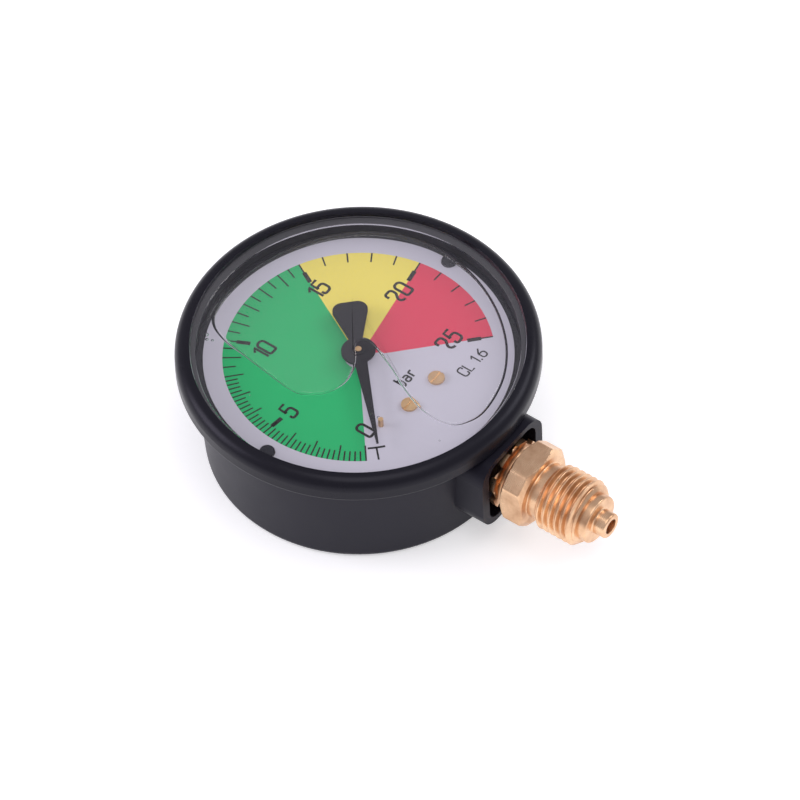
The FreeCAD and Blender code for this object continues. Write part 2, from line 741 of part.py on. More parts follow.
def make_restrictor():
    body = cylinder(s.bore_radius, s.restrictor_length, 0, -s.restrictor_place, s.stem_height,
                    OUT_OF_STEM)
    hole = cylinder(s.restrictor_bore, s.restrictor_length + 2, 0, 1 - s.restrictor_place,
                    s.stem_height, OUT_OF_STEM)
    slot = box(3 * s.bore_radius, 0.6, 0.6, -1.5 * s.bore_radius,
               -(s.restrictor_place + s.restrictor_length), s.stem_height - 0.3)
    return cut(body, hole, slot)


def make_case_screws():
    """Slotted screws from the back of the case into the stem's block."""
    screws = []
    for y in (s.case_screw_a, s.case_screw_b):
        head_low = s.case_screw_sink
        shank = cylinder(s.case_screw_shank, s.block_bottom + 3 - head_low, 0, -y, head_low)
        head = cylinder(s.case_screw_head, s.head_height, 0, -y, head_low)
        slot = box(3 * s.case_screw_head, 0.7, 0.3, -1.5 * s.case_screw_head, -y - 0.35, head_low)
        screws.append(cut(fuse(shank, head), slot))
    return group(*screws)


def make_plug():
    """Rubber filler plug with a flat head outside and a lip inside."""
    inner = cavity - s.plug_lip
    lip = cone(s.plug_radius - 0.4, s.plug_radius + 0.5, 1, 0, inner, s.stem_height, INTO_TOP)
    shank = cylinder(s.plug_radius, plug_pad - inner - 0.9, 0, inner + 0.9, s.stem_height,
                     INTO_TOP)
    head = cylinder(s.plug_head, 1.3, 0, plug_pad, s.stem_height, INTO_TOP)
    return fuse(lip, shank, head)


piece("stem_seal", make_seal())
piece("restrictor", make_restrictor())
piece("case_screws", make_case_screws())
piece("filler_plug", make_plug())


# ---------------------------------------------------------------- Bourdon tube and its tip
def make_tube():
    """C-shaped hollow tube of flattened section, closed by the end piece at its tip."""
    half = s.tube_thick / 2
    tall = s.tube_height / 2
    bore = half - s.tube_wall
    bore_tall = tall - s.tube_wall
    r, z = s.tube_radius, s.tube_middle
    tube = turned(
        "tube",
        [(r - half, z - tall), (r + half, z - tall), (r + half, z + tall), (r - half, z + tall)],
        [(r - bore, z - bore_tall), (r + bore, z - bore_tall), (r + bore, z + bore_tall),
         (r - bore, z + bore_tall)],
        sweep=s.tube_root_angle - s.tube_tip_angle,
    )
    round_edges(tube, half * 0.8, (r - half, z - tall), (r + half, z - tall),
                (r - half, z + tall), (r + half, z + tall))
    return place(tube, turn=(V(0, 0, 1), (s.tube_root_angle + s.tube_tip_angle) / 2))


def make_tip():
    """End piece soldered over the tube's tip, with an ear that carries the link pin."""
    first = s.tube_tip_angle - s.tip_cap_angle / 2
    block = tube_bar("tip_block", s.tip_cap_wall, first, first + s.tip_cap_angle)
    mouth = tube_bar("tip_mouth", s.pivot_gap, s.tube_tip_angle - 0.2, s.tube_tip_angle + 20)
    ear_low = s.tube_middle + s.tube_height / 2
    ear_top = s.sector_low + s.sector_thick
    post = cylinder(1.3, ear_top - ear_low, s.tube_radius, 1.6, ear_low)
    arm = box(s.tube_radius - tip_pin_x, 2.4, s.sector_thick, tip_pin_x, 0.4, s.sector_low)
    end = cylinder(1.3, s.sector_thick, tip_pin_x, s.tip_pin_y, s.sector_low)
    web = box(2.4, 1.6, s.sector_thick, tip_pin_x - 0.3, s.tip_pin_y - 0.6, s.sector_low)
    hole = cylinder(s.pin_radius, 3, tip_pin_x, s.tip_pin_y, s.sector_low - 1)
    return cut(fuse(block, post, arm, web, end), mouth, hole)


piece("bourdon_tube", make_tube())
piece("tube_tip", make_tip())


# ---------------------------------------------------------------- movement
pitch_pinion = s.module_size * s.pinion_teeth / 2
pitch_sector = s.module_size * s.sector_teeth_full / 2
centres = pitch_pinion + pitch_sector
pivot_x = -centres * cosine(s.sector_side)
pivot_y = -centres * sine(s.sector_side)
tail_x = pivot_x + s.sector_tail * cosine(s.sector_tail_angle)
tail_y = pivot_y + s.sector_tail * sine(s.sector_tail_angle)
link_low = s.sector_low + s.sector_thick + s.link_lift
plate_high = s.seat_height + s.plate_thick + s.plate_gap
PILLARS = [(s.pillar_a_x, s.pillar_a_y), (s.pillar_b_x, s.pillar_b_y), (s.pillar_c_x, s.pillar_c_y)]


def plate_outline():
    """Outline of both movement plates, around the pinion, the sector's pivot and the pillars."""
    side = s.block_half + 0.7
    low = 0.2 - s.block_front
    return [(-side, low), (pivot_x - 3, low), (pivot_x + 2.4, pivot_y - 2.2),
            (pivot_x + 4.9, pivot_y + 4.4), (pivot_x + 2.6, pivot_y + 7.7), (4.0, 3.4),
            (-5.6, 3.4), (-side, 1.6)]


def make_plate(name, z, extra_holes):
    """A movement plate with its two bearing holes and the holes for its screws."""
    holes = [(0, 0, s.arbor_radius + s.pivot_gap), (pivot_x, pivot_y, s.shaft_radius + s.pivot_gap)]
    return plate(name, plate_outline(), s.plate_thick, z, holes + extra_holes)


def make_pillars():
    return group(*[
        cut(cylinder(s.pillar_radius, s.plate_gap, x, y, s.seat_height + s.plate_thick),
            cylinder(s.movement_screw, 4, x, y, plate_high - 3))
        for x, y in PILLARS
    ])


def make_movement_screws():
    heads = [(x, y, plate_high + s.plate_thick) for x, y in PILLARS]
    heads += [(x, y, s.seat_height + s.plate_thick) for x, y in SEAT_SCREWS]
    return group(*[
        screw(s.movement_head, s.movement_screw, s.plate_thick + 2, x, y, z, s.head_height,
              as_size(0.3))
        for x, y, z in heads
    ])


piece("back_plate", make_plate("back_plate", s.seat_height,
                               [(x, y, s.movement_screw) for x, y in SEAT_SCREWS]))
piece("front_plate", make_plate("front_plate", plate_high,
                                [(x, y, s.movement_screw) for x, y in PILLARS]))
piece("pillars", make_pillars())
piece("movement_screws", make_movement_screws())


def tooth_corners(pitch_radius, teeth, index, turn, outward, inward, thickness):
    """Four corners of one straight-flanked tooth: (radius, angle) pairs in degrees."""
    pitch = 360.0 / teeth
    middle = turn + index * pitch
    root = 0.30 * pitch
    tip = (thickness / 2) * pitch
    return [
        (pitch_radius - inward, middle - root), (pitch_radius + outward, middle - tip),
        (pitch_radius + outward, middle + tip), (pitch_radius - inward, middle + root),
    ]


def polar(radius, angle, x=0.0, y=0.0):
    bearing = math.radians(angle)
    return V(x + radius * math.cos(bearing), y + radius * math.sin(bearing), 0)


def raised_outline(points, z, height):
    wire = Part.makePolygon(points + [points[0]])
    solid = Part.Face(wire).extrude(V(0, 0, height))
    solid.translate(V(0, 0, z))
    return solid


def make_pinion_teeth():
    """Ten straight-flanked teeth, with a gap facing the sector."""
    module = s.module_size.value
    teeth = int(s.pinion_teeth.value)
    facing = s.sector_side.value + 180 + 180.0 / teeth
    points = []
    for i in range(teeth):
        for radius, angle in tooth_corners(pitch_pinion.value, teeth, i, facing, module * 0.85,
                                           module * 1.15, 0.16):
            points.append(polar(radius, angle))
    return raised_outline(points, s.sector_low.value - 0.5, s.sector_thick.value + 1.0)


def make_sector_blade():
    """The toothed arc with its web, in the plane of the sector."""
    module = s.module_size.value
    full = s.sector_teeth_full.value
    cut_teeth = int(s.sector_teeth.value)
    px, py = pivot_x.value, pivot_y.value
    first = s.sector_side.value - (cut_teeth - 3) * 360.0 / full
    points = [V(px, py, 0)]
    for i in range(cut_teeth):
        for radius, angle in tooth_corners(pitch_sector.value, full, i, first, module * 0.75,
                                           module * 1.15, 0.18):
            points.append(polar(radius, angle, px, py))
    return raised_outline(points, s.sector_low.value, s.sector_thick.value)


def make_sector():
    """Sector wheel: toothed blade lightened by a window, hub, and the tail for the link."""
    blade = shape_of(make_sector_blade(), "toothed_blade")
    hub = cylinder(s.sector_hub, s.sector_thick, pivot_x, pivot_y, s.sector_low)
    tail = box(s.sector_tail, 2.2, s.sector_thick, 0, -1.1, 0)
    place(tail, pivot_x - 1.1 * sine(-s.sector_tail_angle),
          pivot_y - 1.1 * cosine(s.sector_tail_angle), s.sector_low,
          (V(0, 0, 1), s.sector_tail_angle))
    end = cylinder(1.2, s.sector_thick, tail_x, tail_y, s.sector_low)
    middle = s.sector_side - (s.sector_teeth - 5) * 180 / s.sector_teeth_full
    eye_x = pivot_x + pitch_sector * 0.66 * cosine(middle)
    eye_y = pivot_y + pitch_sector * 0.66 * sine(middle)
    eye = cylinder(1.5, 3, eye_x, eye_y, s.sector_low - 1)
    shaft_hole = cylinder(s.shaft_radius, 3, pivot_x, pivot_y, s.sector_low - 1)
    pin_hole = cylinder(s.pin_radius, 3, tail_x, tail_y, s.sector_low - 1)
    return cut(fuse(blade, hub, tail, end), eye, shaft_hole, pin_hole)


def make_sector_shaft():
    length = s.plate_gap + 2 * s.plate_thick + 0.4
    return cylinder(s.shaft_radius, length, pivot_x, pivot_y, s.seat_height - 0.2)


def make_pinion_shaft():
    """Pointer arbor with its pinion, standing through the dial to the pointer's bush."""
    foot = s.seat_height - 2 * s.fit_gap
    arbor = cylinder(s.arbor_radius, bush_top + s.arbor_rise - foot, 0, 0, foot)
    teeth = shape_of(make_pinion_teeth(), "pinion_teeth")
    return fuse(arbor, teeth)


piece("sector_gear", make_sector())
piece("sector_shaft", make_sector_shaft())
piece("pinion_shaft", make_pinion_shaft())


def link_pin(x, y):
    """A rivet-like pin through the link, with a thin head over it."""
    top = link_low + s.link_thick + s.link_lift / 2
    rod = cylinder(s.pin_radius, top - s.sector_low, x, y, s.sector_low)
    head = cylinder(s.pin_radius + 0.5, 0.35, x, y, top)
    return fuse(rod, head)


def make_link():
    """Strip between the tip's pin and the tail's pin, with more room round the tail's."""
    run_x = tail_x.value - tip_pin_x.value
    run_y = tail_y.value - s.tip_pin_y.value
    length = math.hypot(run_x, run_y)
    bearing = math.degrees(math.atan2(run_y, run_x))
    strip = doc.addObject("Part::Box", fresh("strip"))
    strip.Length = length
    tie(strip, Width=s.link_width, Height=s.link_thick)
    half = s.link_width.value / 2
    turn = FreeCAD.Rotation(V(0, 0, 1), bearing)
    corner = V(tip_pin_x.value, s.tip_pin_y.value, link_low.value) - turn.multVec(V(0, half, 0))
    strip.Placement = FreeCAD.Placement(corner, turn)
    ends = [
        cylinder(s.link_width / 2 + 0.1, s.link_thick, tip_pin_x, s.tip_pin_y, link_low),
        cylinder(s.link_width / 2 + 0.4, s.link_thick, tail_x, tail_y, link_low),
    ]
    holes = [
        cylinder(s.pin_radius + s.pivot_gap, 3, tip_pin_x, s.tip_pin_y, link_low - 1),
        cylinder(s.slack_hole, 3, tail_x, tail_y, link_low - 1),
    ]
    return cut(fuse(strip, *ends), *holes)


piece("tip_pin", link_pin(tip_pin_x, s.tip_pin_y))
piece("tail_pin", link_pin(tail_x, tail_y))
piece("link", make_link())


# ---------------------------------------------------------------- hairspring
spring_low = plate_high - s.spring_drop


def make_spiral():
    """Flat spiral strip from the collet outwards; its radius grows evenly with its angle."""
    inner = s.collet_radius.value
    outer = s.spring_outer.value
    turns = s.spring_turns.value
    strip = s.spring_strip.value
    start_angle = math.degrees(math.atan2(s.stud_y.value, s.stud_x.value)) - 360 * turns
    steps = int(turns * 24)

    def edge(offset):
        shares = [i / steps for i in range(steps + 1)]
        return [
            polar(inner + (outer - inner) * share + offset, start_angle + 360 * turns * share)
            for share in shares
        ]

    sides = []
    for points in (edge(0.0), edge(strip)):
        curve = Part.BSplineCurve()
        curve.interpolate(points)
        sides.append(curve.toShape())
    ends = [
        Part.makeLine(edge(0.0)[k], edge(strip)[k]) for k in (0, -1)
    ]
    wire = Part.Wire(Part.__sortEdges__([sides[0], ends[1], sides[1], ends[0]]))
    solid = Part.Face(wire).extrude(V(0, 0, s.spring_height.value))
    solid.translate(V(0, 0, spring_low.value))
    return solid


def make_collet():
    ring = cylinder(s.collet_radius, s.collet_height, z=spring_low - 0.25)
    return cut(ring, cylinder(s.arbor_radius, 4, z=spring_low - 2))


def make_stud():
    """Post on the back plate that holds the spring's outer end."""
    return cylinder(s.stud_radius, s.plate_gap, s.stud_x, s.stud_y, s.seat_height + s.plate_thick)


piece("hairspring", shape_of(make_spiral(), "spiral"))
piece("hairspring_collet", make_collet())
piece("hairspring_stud", make_stud())


# ---------------------------------------------------------------- pointer
def make_pointer():
    """Blade with a tapering arm, a round middle and a flared tail that balances it."""
    arm = plate("arm", [(0, -s.pointer_root), (s.pointer_reach, -s.pointer_end),
                        (s.pointer_reach, s.pointer_end), (0, s.pointer_root)],
                s.pointer_thick, 0)
    back = s.tail_centre - s.tail_radius * sine(s.tail_flare)
    side = s.tail_spread + s.tail_radius * cosine(s.tail_flare)
    waist = side - back * sine(s.tail_flare) / cosine(s.tail_flare)
    end = s.tail_centre + s.tail_radius
    tail = plate("tail", [(0, waist), (-back, side), (-end, s.tail_spread),
                          (-end, -s.tail_spread), (-back, -side), (0, -waist)],
                 s.pointer_thick, 0)
    middle = cylinder(s.pointer_hub, s.pointer_thick)
    corners = [cylinder(s.tail_radius, s.pointer_thick, -s.tail_centre, side * s.tail_spread, 0)
               for side in (-1, 1)]
    hole = cylinder(s.bush_radius, 3, 0, 0, -1)
    blade = cut(fuse(arm, tail, middle, *corners), hole)
    return place(blade, z=pointer_low, turn=(V(0, 0, 1), s.pointer_angle))


def make_bush():
    """Brass bush pressed on the arbor, with a collar under the blade."""
    low = pointer_low - s.bush_collar
    collar = cylinder(s.bush_radius + s.bush_collar, s.bush_collar, z=low)
    sleeve = cylinder(s.bush_radius, bush_top - low, z=low)
    return cut(fuse(collar, sleeve), cylinder(s.arbor_radius, bush_top - low + 2, z=low - 1))


piece("pointer", make_pointer())
piece("pointer_bush", make_bush())


# ---------------------------------------------------------------- check and write
doc.recompute()
for obj in doc.Objects:
    if "Invalid" in obj.State or "Error" in obj.State:
        raise RuntimeError(f"{obj.Label} failed: {obj.State}")
os.makedirs("parts", exist_ok=True)
for obj in PIECES:
    shape = obj.Shape
    if shape.isNull() or not shape.isValid() or not shape.Solids:
        raise RuntimeError(f"{obj.Label} has no valid solid")
for obj in PIECES:
    obj.Shape.exportStep(f"parts/{obj.Label}.step")
    print(obj.Label, len(obj.Shape.Solids), round(obj.Shape.Volume, 2))
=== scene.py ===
# %% [markdown]
# # A glycerine-filled pressure gauge, piece by piece
#
# The gauge lies on its back. Its dial looks up along +Z, its stem points along -Y, and the origin is
# the centre of the case's back. Everything here is in metres. The rigid pieces come from the packed
# model, and this lesson adds what makes them look real: the poured liquid with its air bubble, the
# cut thread, the printed scale, and a finish for every piece.

# %% Load the frame
import json
import math

import bmesh
import bpy
import numpy as np
from mathutils import Matrix, Vector

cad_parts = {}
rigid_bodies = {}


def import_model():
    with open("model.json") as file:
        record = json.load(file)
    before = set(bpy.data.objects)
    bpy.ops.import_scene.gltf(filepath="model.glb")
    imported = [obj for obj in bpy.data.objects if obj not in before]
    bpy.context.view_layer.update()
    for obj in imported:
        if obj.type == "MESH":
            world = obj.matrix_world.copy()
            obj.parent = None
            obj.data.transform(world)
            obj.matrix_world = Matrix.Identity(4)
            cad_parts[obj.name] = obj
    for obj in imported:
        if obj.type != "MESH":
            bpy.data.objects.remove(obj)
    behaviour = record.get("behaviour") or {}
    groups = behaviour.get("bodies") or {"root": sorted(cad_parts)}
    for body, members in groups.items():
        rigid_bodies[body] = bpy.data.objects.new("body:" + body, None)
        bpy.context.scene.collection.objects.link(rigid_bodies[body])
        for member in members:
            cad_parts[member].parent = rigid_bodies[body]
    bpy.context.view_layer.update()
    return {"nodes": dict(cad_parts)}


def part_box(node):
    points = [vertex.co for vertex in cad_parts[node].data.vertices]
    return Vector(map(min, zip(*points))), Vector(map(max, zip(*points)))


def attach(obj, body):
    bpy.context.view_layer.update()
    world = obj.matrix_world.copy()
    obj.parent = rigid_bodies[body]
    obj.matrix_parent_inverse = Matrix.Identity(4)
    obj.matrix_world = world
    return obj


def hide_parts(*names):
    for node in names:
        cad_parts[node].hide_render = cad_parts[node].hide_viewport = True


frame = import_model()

MM = 0.001
TAU = 2 * math.pi
nodes = frame["nodes"]
print("nodes in the frame:", len(nodes))

# %% [markdown]
# ## Levels read from the frame
#
# A new piece has to meet its neighbours, so the heights and radii that it shares with them are read
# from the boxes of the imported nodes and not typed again.

# %% Levels
def top_of(node):
    """Height of a node's highest point, in metres."""
    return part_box(node)[1].z


def low_of(node):
    """Height of a node's lowest point, in metres."""
    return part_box(node)[0].z


def reach_of(node):
    """Largest X of a node, which is its radius if it is round and centred."""
    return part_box(node)[1].x


dial_face = top_of("dial")
dial_edge = reach_of("dial")
window_top = top_of("window")
window_edge = reach_of("window")
bezel_top = top_of("bezel_ring")
pointer_top = top_of("pointer")
print("dial face %.2f mm, window top %.2f mm" % (dial_face / MM, window_top / MM))

# %% [markdown]
# ## Surfaces from arrays
#
# Most of the gauge was turned, pressed or cast, so its surfaces are simple formulas of two
# parameters. Each one is worked out on a whole grid with numpy, and the grid becomes quads. A seam
# is closed by wrapping the grid's columns round, and a pole by merging the points that meet there.

# %% Grid to mesh
def quads(rows, columns, wrap):
    """Corner numbers of the quads between neighbouring rows and columns of a grid. Where wrap is
    true, the last column's neighbour is the first."""
    number = np.arange(rows * columns).reshape(rows, columns)
    if wrap:
        number = np.concatenate([number, number[:, :1]], axis=1)
    corners = number[:-1, :-1], number[:-1, 1:], number[1:, 1:], number[1:, :-1]
    return np.stack([c.ravel() for c in corners], axis=1)


def mesh_object(name, points, faces, sharp=35.0):
    """An object at the origin from points in metres and faces. Points closer than a thousandth of
    a millimetre are merged, normals are turned outwards, and edges sharper than an angle stay
    crisp under smooth shading."""
    mesh = bpy.data.meshes.new(name)
    mesh.from_pydata(points.tolist(), [], [list(f) for f in faces])
    work = bmesh.new()
    work.from_mesh(mesh)
    bmesh.ops.remove_doubles(work, verts=work.verts, dist=1e-6)
    bmesh.ops.dissolve_degenerate(work, edges=work.edges, dist=1e-7)
    bmesh.ops.recalc_face_normals(work, faces=work.faces)
    work.to_mesh(mesh)
    work.free()
    mesh.shade_smooth()
    mesh.set_sharp_from_angle(angle=math.radians(sharp))
    made = bpy.data.objects.new(name, mesh)
    bpy.context.scene.collection.objects.link(made)
    return made


def turned_points(profile, steps):
    """A profile of (radius, height) carried round the Z axis: x = r cos a, y = r sin a, z = h."""
    profile = np.asarray(profile, float)
    angle = np.arange(steps) * TAU / steps
    x = profile[:, :1] * np.cos(angle)
    y = profile[:, :1] * np.sin(angle)
    z = np.broadcast_to(profile[:, 1:], x.shape)
    return np.stack([x, y, z], axis=-1)


def softened(corners, radii, steps=8):
    """A path of straight runs with its corners turned into arcs. At a corner the arc starts and ends
    at the distance r / tan(half the inner angle) along both runs, and its centre lies on the
    bisector."""
    corners = np.asarray(corners, float)
    path = []
    for number, (corner, radius) in enumerate(zip(corners, radii)):
        if radius == 0 or number in (0, len(corners) - 1):
            path.append(corner)
            continue
        before = corners[number - 1] - corner
        after = corners[number + 1] - corner
        before /= np.linalg.norm(before)
        after /= np.linalg.norm(after)
        half = math.acos(np.clip(before @ after, -1, 1)) / 2
        centre = corner + (before + after) / np.linalg.norm(before + after) * radius / math.sin(half)
        start = corner + before * radius / math.tan(half) - centre
        end = corner + after * radius / math.tan(half) - centre
        sweep = math.pi - 2 * half
        share = np.linspace(0, 1, steps + 1)[:, None]
        arc = (np.sin((1 - share) * sweep) * start + np.sin(share * sweep) * end) / math.sin(sweep)
        path.extend(centre + arc)
    return np.array(path)


def turned_piece(name, profile, steps=256, sharp=35.0):
    """A closed piece from a profile that starts and ends on the axis, or on itself."""
    points = turned_points(profile, steps)
    return mesh_object(name, points.reshape(-1, 3), quads(len(points), steps, True), sharp)

# %% [markdown]
# ## Shader maths in plain Python
#
# A material is a small formula over the surface. Writing it as nodes by hand is long, so a wrapped
# socket lets + - * / build the Math nodes, and one method makes every other node.

# %% Shader wrapper
class Value:
    """A number on the surface. Operators add Math nodes to its material's tree."""

    def __init__(self, tree, socket):
        self.tree, self.socket = tree, socket

    def math(self, operation, *others):
        """A Math node of this value and others."""
        node = self.tree.nodes.new("ShaderNodeMath")
        node.operation = operation
        for number, other in enumerate((self,) + others):
            if isinstance(other, Value):
                self.tree.links.new(other.socket, node.inputs[number])
            else:
                node.inputs[number].default_value = other
        return Value(self.tree, node.outputs[0])

    def flipped(self, operation, other):
        """The same with the two inputs in the other order."""
        node = self.math(operation, other)
        maths = node.socket.node
        self.tree.links.remove(maths.inputs[0].links[0])
        maths.inputs[0].default_value = other
        self.tree.links.new(self.socket, maths.inputs[1])
        return node

    def __add__(self, other):
        return self.math("ADD", other)

    def __sub__(self, other):
        return self.math("SUBTRACT", other)

    def __mul__(self, other):
        return self.math("MULTIPLY", other)

    def __truediv__(self, other):
        return self.math("DIVIDE", other)

    def __rsub__(self, other):
        return self.flipped("SUBTRACT", other)

    __radd__ = __add__
    __rmul__ = __mul__

    def step(self, low, high):
        """0 below low, 1 above high, and a straight ramp between."""
        node = self.tree.nodes.new("ShaderNodeMapRange")
        node.clamp = True
        self.tree.links.new(self.socket, node.inputs["Value"])
        node.inputs["From Min"].default_value = low
        node.inputs["From Max"].default_value = high
        return Value(self.tree, node.outputs["Result"])


class Finish:
    """A material with one Principled shader and the helpers that build its formula."""

    def __init__(self, name, colour, **constants):
        self.material = bpy.data.materials.new(name)
        self.material.use_nodes = True
        self.tree = self.material.node_tree
        self.shader = self.tree.nodes["Principled BSDF"]
        self.shader.inputs["Base Color"].default_value = (*colour, 1)
        for socket, number in constants.items():
            self.shader.inputs[socket.replace("_", " ")].default_value = number

    def node(self, kind, settings=None, **inputs):
        """Any other node: settings are its properties, inputs the values or links of its sockets."""
        made = self.tree.nodes.new("ShaderNode" + kind)
        for key, setting in (settings or {}).items():
            setattr(made, key, setting)
        for key, value in inputs.items():
            socket = made.inputs[key.replace("_", " ")]
            if isinstance(value, Value):
                self.tree.links.new(value.socket, socket)
            elif isinstance(value, bpy.types.NodeSocket):
                self.tree.links.new(value, socket)
            else:
                socket.default_value = value
        return made

    def place(self, scale=(1, 1, 1), location=(0, 0, 0), turn=(0, 0, 0)):
        """Object coordinates in metres, moved, turned and scaled by a Mapping node."""
        coordinates = self.node("TexCoord").outputs["Object"]
        mapping = self.node("Mapping", Vector=coordinates)
        mapping.inputs["Location"].default_value = location
        mapping.inputs["Rotation"].default_value = turn
        mapping.inputs["Scale"].default_value = scale
        return mapping.outputs["Vector"]

    def axes(self, vector=None):
        """The X, Y and Z of Object coordinates, or of a vector, as three values."""
        vector = vector or self.node("TexCoord").outputs["Object"]
        split = self.node("SeparateXYZ", Vector=vector)
        return tuple(Value(self.tree, split.outputs[k]) for k in "XYZ")

    def noise(self, scale, detail=3.0, stretch=(1, 1, 1), roughness=0.5):
        """Smooth noise from 0 to 1, scale in bumps per metre."""
        made = self.node("TexNoise", Vector=self.place(stretch), Scale=scale, Detail=detail,
                         Roughness=roughness)
        return Value(self.tree, made.outputs["Fac"])

    def cells(self, scale, stretch=(1, 1, 1), feature="F1"):
        """Distance to the nearest of scattered points."""
        made = self.node("TexVoronoi", {"feature": feature}, Vector=self.place(stretch), Scale=scale)
        return Value(self.tree, made.outputs["Distance"])

    def blend(self, factor, low, high):
        """One colour where factor is 0 and another where it is 1, each a colour or a socket."""
        made = self.node("Mix", {"data_type": "RGBA"})
        self.tree.links.new(factor.socket, made.inputs["Factor"])
        for socket, colour in ((made.inputs[6], low), (made.inputs[7], high)):
            if isinstance(colour, bpy.types.NodeSocket):
                self.tree.links.new(colour, socket)
            else:
                socket.default_value = (*colour, 1)
        return made.outputs[2]

    def colour(self, socket):
        self.tree.links.new(socket, self.shader.inputs["Base Color"])

    def roughness(self, value):
        self.tree.links.new(value.socket, self.shader.inputs["Roughness"])

    def bump(self, height, depth, strength=1.0):
        """A bump whose height runs from 0 to 1 over depth metres."""
        made = self.node("Bump", Height=height, Distance=depth, Strength=strength)
        self.tree.links.new(made.outputs["Normal"], self.shader.inputs["Normal"])


def paint(material, *names):
    """Gives objects or CAD nodes one material."""
    for name in names:
        piece = nodes[name] if isinstance(name, str) else name
        piece.data.materials.clear()
        piece.data.materials.append(material)

# %% [markdown]
# ## Black mouldings
#
# The case and the bezel ring are moulded in black plastic. A mould leaves a very fine grain, which
# scatters light a little unevenly, and handling adds faint scuffs that are glossier or duller than
# the rest. So the colour hardly changes, and most of the work is in roughness and bump.

# %% Plastics and rubber
def moulded(name, colour, gloss, grain):
    """Black plastic: roughness = gloss + soft clouds + scuffs, height = grain noise."""
    finish = Finish(name, colour, Specular_IOR_Level=0.19, Specular_Tint=(0.86, 0.84, 1.0, 1))
    clouds = finish.noise(120, detail=4)
    fine = finish.noise(grain, detail=2)
    scuffs = finish.noise(900, detail=5, stretch=(1, 6, 2)).step(0.62, 0.78)
    dust = finish.cells(420).step(0.10, 0.04)
    finish.roughness(clouds * 0.14 + fine * 0.10 + scuffs * 0.10 + (gloss - 0.12))
    lighter = tuple(c * 1.9 + 0.006 for c in colour)
    finish.colour(finish.blend(scuffs * 0.30 + dust * 0.20 + clouds * 0.25, colour, lighter))
    finish.bump((fine + clouds * 0.4).socket, 0.012 * MM, 0.7)
    return finish.material


case_black = moulded("case_plastic", (0.009, 0.0085, 0.014), 0.42, 7000)
bezel_black = moulded("bezel_plastic", (0.007, 0.0068, 0.010), 0.30, 9000)
rubber_black = moulded("black_rubber", (0.016, 0.016, 0.018), 0.62, 5000)
rubber_grey = moulded("grey_rubber", (0.085, 0.084, 0.092), 0.60, 5000)
pointer_lacquer = moulded("pointer_black", (0.018, 0.017, 0.020), 0.48, 12000)
print("black finishes:", case_black.name, bezel_black.name, rubber_black.name)

# %% [markdown]
# ## Turned and plated metals
#
# Brass from a lathe shows rings across its axis, because the tool leaves a groove at every turn.
# The rings are noise that is stretched very long across the axis and very short along it. Brass
# that has been handled is also darker in patches.

# %% Metals
def machined(name, colour, dull, gloss, along, depth=0.004):
    """Metal with tool marks: noise squeezed along one axis gives rings across it."""
    finish = Finish(name, colour, Metallic=1.0)
    stretch = [0.04, 0.04, 0.04]
    stretch[along] = 1.0
    rings = finish.noise(9000, detail=2, stretch=tuple(stretch))
    patches = finish.noise(260, detail=4, roughness=0.6)
    finish.colour(finish.blend(patches.step(0.35, 0.75), colour, dull))
    finish.roughness(rings * 0.12 + patches * 0.16 + (gloss - 0.14))
    finish.bump((rings + patches * 0.3).socket, depth * MM, 0.8)
    return finish.material


stem_brass = machined("brass_stem", (0.86, 0.57, 0.35), (0.56, 0.31, 0.17), 0.30, 1)
inner_brass = machined("brass", (0.80, 0.54, 0.30), (0.60, 0.36, 0.18), 0.34, 2)
steel = machined("plated_steel", (0.62, 0.62, 0.64), (0.42, 0.42, 0.44), 0.30, 2)
bronze = machined("bronze_tube", (0.60, 0.34, 0.20), (0.38, 0.20, 0.11), 0.36, 2)

# %% [markdown]
# ## The printed dial
#
# The dial is a sheet of aluminium with a white enamel ground, and the scale is screen printed on
# it. Coloured sectors come first and black marks go over them. Print is a layer with a thickness,
# so each colour is a sheet of its own a few hundredths of a millimetre above the last, which keeps
# its edges sharp from any distance.

# %% Inks
def printed(name, colour, weave=0.05):
    """Screen ink: a little darker and lighter where the mesh let less or more ink through."""
    finish = Finish(name, colour, Specular_IOR_Level=0.35)
    mottle = finish.noise(1400, detail=3)
    screen = finish.noise(9000, detail=1)
    darker = tuple(c * (1 - 2 * weave) for c in colour)
    finish.colour(finish.blend(mottle * 0.6 + screen * 0.4, darker, colour))
    finish.roughness(mottle * 0.15 + 0.42)
    finish.bump(screen.socket, 0.003 * MM, 0.5)
    return finish.material


enamel = printed("dial_enamel", (0.55, 0.53, 0.61), 0.02)
green_ink = printed("green_ink", (0.003, 0.44, 0.135))
yellow_ink = printed("yellow_ink", (0.86, 0.72, 0.13))
red_ink = printed("red_ink", (0.72, 0.045, 0.10))
black_ink = printed("black_ink", (0.012, 0.011, 0.012), 0.2)

# %% [markdown]
# ## The scale's law
#
# A Bourdon tube gauge isn't quite even: the marks stand a little wider apart below 8 bar than above
# it. Zero has its own place, against the stop. From the law come the marks and the ends of the
# coloured sectors; the numbers' places are listed.

# %% Scale
SCALE_EDGE = 25.1 * MM
SECTOR_START = 2.6 * MM
LAYER = 0.012 * MM


def direction(pressure):
    """Angle of a pressure on the dial, in radians: 11.8 degrees for each bar up to 8 bar and 10.62
    above it, clockwise."""
    low = np.minimum(pressure, 8.0)
    high = np.maximum(pressure, 8.0) - 8.0
    return np.radians(219.7 - 11.8 * (low - 1.0) + (11.8 * 7 - 82.6) - 10.62 * high)


